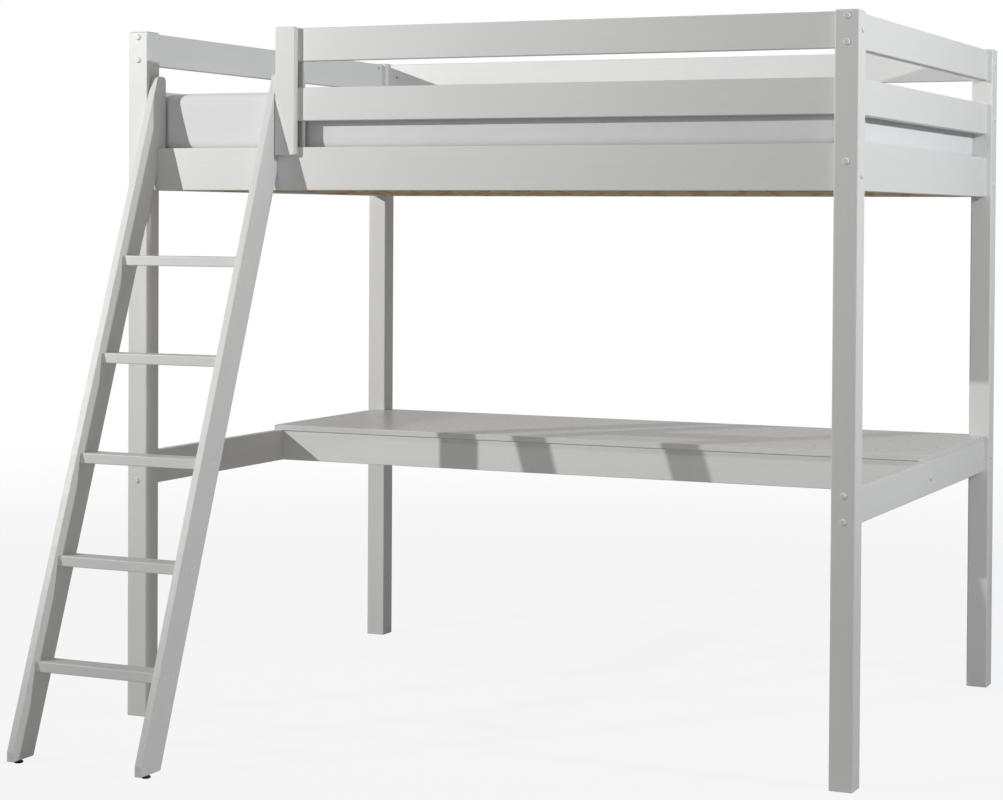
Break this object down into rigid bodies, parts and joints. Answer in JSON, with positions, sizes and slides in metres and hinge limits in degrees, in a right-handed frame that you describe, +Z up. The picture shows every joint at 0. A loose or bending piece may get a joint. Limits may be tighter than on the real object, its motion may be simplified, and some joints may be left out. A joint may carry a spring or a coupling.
{
  "type": "loft bed with desk",
  "caption": "High bed on four square posts with guard rails, a hook-on leaning ladder at the front left and a full-length desk under the back half",
  "frame": {"origin": "on the floor under the middle of the bounding box, ladder and bolt caps included", "axes": "+X to the right along the bed seen from the ladder side, +Y from the ladder side to the back, +Z up"},
  "size_m": [2.108, 2.145, 1.915],
  "materials": {
    "white_paint": "satin",
    "natural_pine": "matte",
    "zinc_steel": "satin",
    "cap_plastic": "gloss",
    "mattress_cover": "matte",
    "webbing": "matte",
    "black_plastic": "matte"
  },
  "bodies": {
    "frame": {"apron_bolts": "zinc_steel", "barrel_nuts": "zinc_steel", "beam_plugs": "cap_plastic", "beam_screws": "zinc_steel", "bearer_screws": "zinc_steel", "bolt_caps": "cap_plastic", "bracket_screws": "zinc_steel", "centre_beam_back": "natural_pine", "centre_beam_front": "natural_pine", "desk_apron": "white_paint", "desk_brackets": "zinc_steel", "desk_rail_back": "white_paint", "desk_rail_left": "white_paint", "desk_rail_right": "white_paint", "desktop": "white_paint", "end_rail_bolts": "zinc_steel", "end_rail_left_main": "white_paint", "end_rail_left_middle": "white_paint", "end_rail_left_upper": "white_paint", "end_rail_right_main": "white_paint", "end_rail_right_middle": "white_paint", "end_rail_right_upper": "white_paint", "guard_rail_back_lower": "white_paint", "guard_rail_back_upper": "white_paint", "guard_rail_front_lower": "white_paint", "guard_rail_front_upper": "white_paint", "guard_upright_inner": "white_paint", "guard_upright_outer": "white_paint", "post_back_left": "white_paint", "post_back_right": "white_paint", "post_front_left": "white_paint", "post_front_right": "white_paint", "side_rail_back": "white_paint", "side_rail_bolts": "zinc_steel", "side_rail_front": "white_paint", "slat_bearer_back": "natural_pine", "slat_bearer_front": "natural_pine", "slat_straps": "webbing", "slats": "natural_pine", "upright_screws": "zinc_steel", "wood_dowels": "natural_pine"},
    "mattress": {"mattress": "mattress_cover"},
    "ladder": {"ladder_glides": "black_plastic", "ladder_stringer_left": "white_paint", "ladder_stringer_right": "white_paint", "ladder_tread_1": "white_paint", "ladder_tread_2": "white_paint", "ladder_tread_3": "white_paint", "ladder_tread_4": "white_paint", "ladder_tread_5": "white_paint", "tread_plugs": "cap_plastic", "tread_screws": "zinc_steel"}
  },
  "joints": [
    {"name": "mattress_lift", "type": "slide", "parent": "frame", "child": "mattress", "axis": [0, 0, 1], "range_m": [0, 0.45]},
    {"name": "ladder_lift", "type": "slide", "parent": "frame", "child": "ladder", "axis": [0, 0, 1], "range_m": [0, 0.25]}
  ]
}
